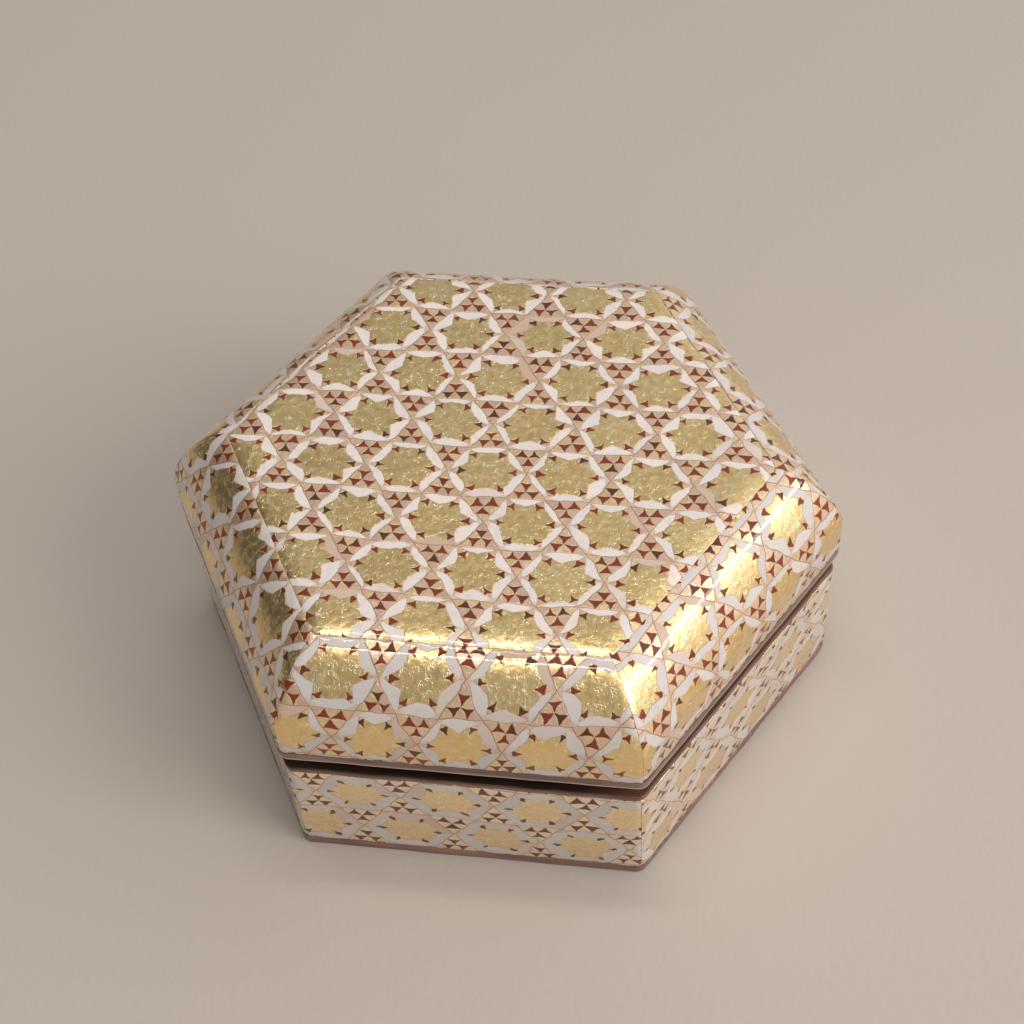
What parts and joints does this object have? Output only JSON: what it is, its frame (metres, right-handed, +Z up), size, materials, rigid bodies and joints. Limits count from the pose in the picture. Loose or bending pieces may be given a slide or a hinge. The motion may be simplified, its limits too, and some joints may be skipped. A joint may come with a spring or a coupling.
{
  "type": "hexagonal marquetry jewelry box",
  "caption": "Hexagonal wooden trinket box with a lift-off curved lid, covered all round in geometric star marquetry of brass, bone and dark wood.",
  "frame": {"origin": "centre of the underside", "axes": "+Z up, -Y out of the front side, corners at +X and -X"},
  "size_m": [0.0992, 0.0864, 0.0412],
  "materials": {
    "wood": "varnished reddish brown wood",
    "marquetry": "glossy lacquer over brass, bone and wood inlay"
  },
  "bodies": {
    "root": {"base_board": "wood", "base_walls": "wood", "base_panel_front": "marquetry", "base_panel_front_right": "marquetry", "base_panel_back_right": "marquetry", "base_panel_back": "marquetry", "base_panel_back_left": "marquetry", "base_panel_front_left": "marquetry", "lid_shell": "wood", "lid_top_panel": "marquetry", "lid_panel_front": "marquetry", "lid_panel_front_right": "marquetry", "lid_panel_back_right": "marquetry", "lid_panel_back": "marquetry", "lid_panel_back_left": "marquetry", "lid_panel_front_left": "marquetry"}
  },
  "joints": []
}
